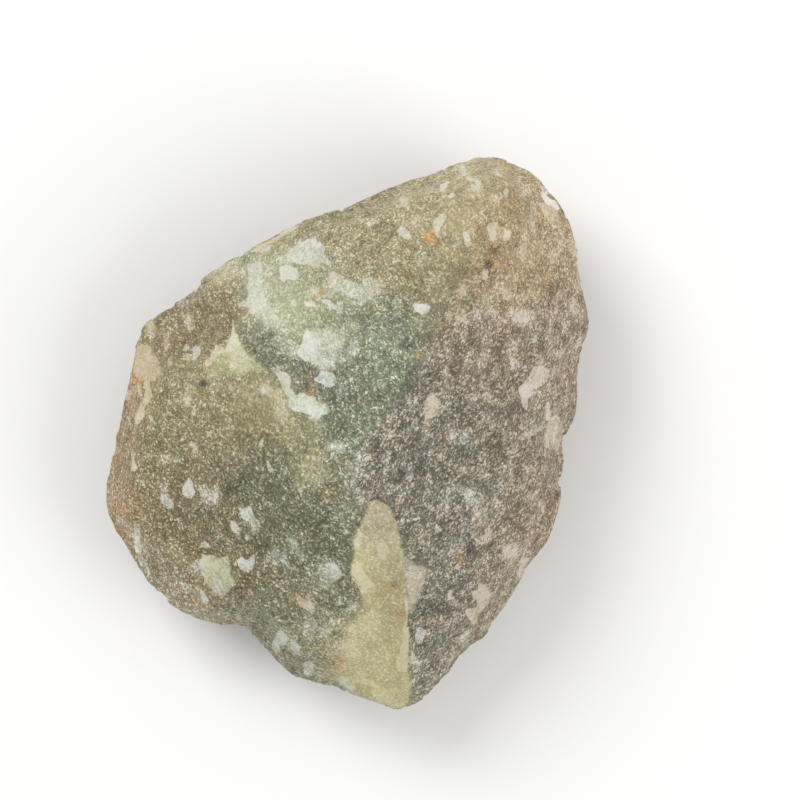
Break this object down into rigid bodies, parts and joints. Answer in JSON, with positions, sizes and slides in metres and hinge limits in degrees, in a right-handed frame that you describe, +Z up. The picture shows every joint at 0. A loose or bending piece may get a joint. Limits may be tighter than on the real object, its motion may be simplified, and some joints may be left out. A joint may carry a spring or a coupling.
{
  "type": "raw jade",
  "caption": "Rough broken lump of natural jade with a long ridge, wide split faces and a flat patch it lies on.",
  "frame": {"origin": "bottom centre of the bounding box, on the plane of the flat patch the stone lies on", "axes": "+Z up out of the resting patch towards the ridge, +Y along the longest side from the lower tip to the narrow upper shoulder, +X across the stone towards the face right of the ridge"},
  "size_m": [0.05, 0.057, 0.0271],
  "materials": {
    "jade": "rough sugary break, grey-green with pale yellow-green patches, faintly see-through at thin edges"
  },
  "bodies": {
    "root": {"raw_jade": "jade"}
  },
  "joints": []
}
